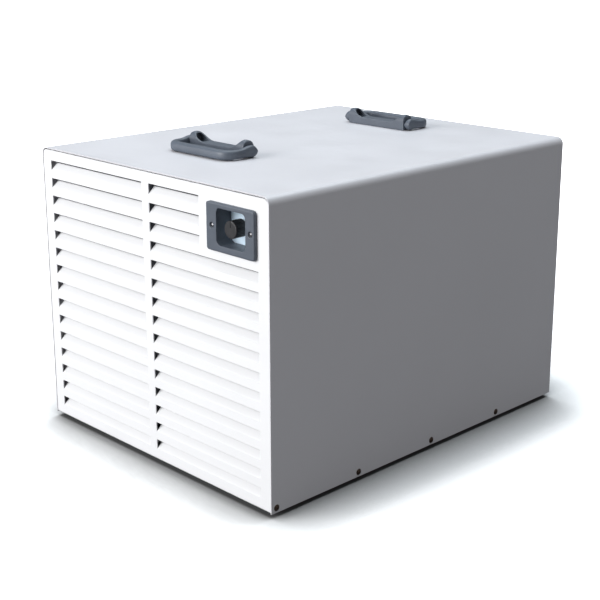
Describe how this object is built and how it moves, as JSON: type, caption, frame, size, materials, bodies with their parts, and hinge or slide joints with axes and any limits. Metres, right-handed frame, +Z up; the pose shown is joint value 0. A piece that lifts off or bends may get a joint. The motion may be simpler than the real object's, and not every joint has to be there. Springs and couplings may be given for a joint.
{
  "type": "dehumidifier",
  "caption": "Compact steel-cased refrigerant dehumidifier with a louvred front, recessed humidity knob and folding lid handles.",
  "frame": {"origin": "on the floor under the middle of the whole part's box", "axes": "+Z up; the louvred front faces -Y; +X is the side with the knob"},
  "size_m": [0.4276, 0.556, 0.387],
  "materials": {
    "cover_paint": "satin light-grey powder coat",
    "front_paint": "satin white powder coat",
    "slate_plastic": "fine-grained slate moulding",
    "knob_plastic": "black moulding",
    "dark_plastic": "black moulding",
    "cream_plastic": "off-white moulding",
    "galvanised": "galvanised sheet",
    "bracket_steel": "pale zinc-coated plate",
    "guard_wire": "black coated wire",
    "foot_rubber": "matt",
    "hose_rubber": "smooth",
    "cable_sleeve": "smooth sleeve",
    "zinc_screw": "zinc plated",
    "bright_screw": "bright plated",
    "dark_screw": "black-browned",
    "shaft_steel": "ground",
    "filter_foam": "open-cell foam",
    "fin_aluminium": "thin stamped fins",
    "copper": "drawn copper tube",
    "black_enamel": "gloss black enamel",
    "motor_enamel": "dark enamel",
    "winding": "varnished winding",
    "cast_iron": "machined casting",
    "board": "green laminate",
    "capacitor_can": "drawn can"
  },
  "bodies": {
    "chassis": {"base_pan": "galvanised", "outer_cover": "cover_paint", "front_panel": "front_paint", "rear_panel": "cover_paint", "finger_guard": "guard_wire", "feet": "foot_rubber", "foot_screws": "zinc_screw", "cover_screws": "dark_screw", "rear_screws": "zinc_screw", "control_bezel": "slate_plastic", "bezel_screws": "bright_screw", "control_bracket": "bracket_steel", "humidistat": "cream_plastic", "humidistat_nut": "zinc_screw", "front_handle_base": "slate_plastic", "front_handle_pins": "shaft_steel", "front_handle_screws": "bright_screw", "rear_handle_base": "slate_plastic", "rear_handle_pins": "shaft_steel", "rear_handle_screws": "bright_screw", "filter_frame": "dark_plastic", "filter_foam": "filter_foam", "coil_frame": "galvanised", "evaporator_fins": "fin_aluminium", "evaporator_tubes": "copper", "condenser_fins": "fin_aluminium", "condenser_tubes": "copper", "drip_tray": "dark_plastic", "compressor_shell": "black_enamel", "compressor_motor": "winding", "compressor_pump": "cast_iron", "compressor_grommets": "foot_rubber", "compressor_bolts": "zinc_screw", "terminal_cover": "dark_plastic", "accumulator": "black_enamel", "filter_drier": "copper", "capillary_tube": "copper", "suction_line": "copper", "discharge_line": "copper", "liquid_line": "copper", "fan_shroud": "galvanised", "fan_motor": "motor_enamel", "motor_bracket": "galvanised", "motor_screws": "zinc_screw", "electrical_box": "galvanised", "electrical_lid": "galvanised", "circuit_board": "board", "terminal_block": "cream_plastic", "run_capacitor": "capacitor_can", "wiring_loom": "cable_sleeve", "drain_hose": "hose_rubber", "drain_spigot": "dark_plastic", "cable_gland": "dark_plastic"},
    "front_bail": {"front_handle_bail": "slate_plastic"},
    "rear_bail": {"rear_handle_bail": "slate_plastic"},
    "knob": {"control_knob": "knob_plastic", "humidistat_shaft": "shaft_steel"},
    "fan": {"fan_blade": "dark_plastic", "fan_shaft": "shaft_steel"}
  },
  "joints": [
    {"name": "front_handle_fold", "type": "hinge", "parent": "chassis", "child": "front_bail", "pos_m": [-0.022, -0.138, 0.374], "axis": [-1, 0, 0], "range_deg": [0, 180]},
    {"name": "rear_handle_fold", "type": "hinge", "parent": "chassis", "child": "rear_bail", "pos_m": [-0.022, 0.153, 0.374], "axis": [1, 0, 0], "range_deg": [0, 180]},
    {"name": "knob_turn", "type": "hinge", "parent": "chassis", "child": "knob", "pos_m": [0.1552, -0.269, 0.3222], "axis": [0, 1, 0], "range_deg": [0, 290]},
    {"name": "fan_spin", "type": "hinge", "parent": "chassis", "child": "fan", "pos_m": [0, 0.194, 0.196], "axis": [0, 1, 0], "continuous": true}
  ]
}
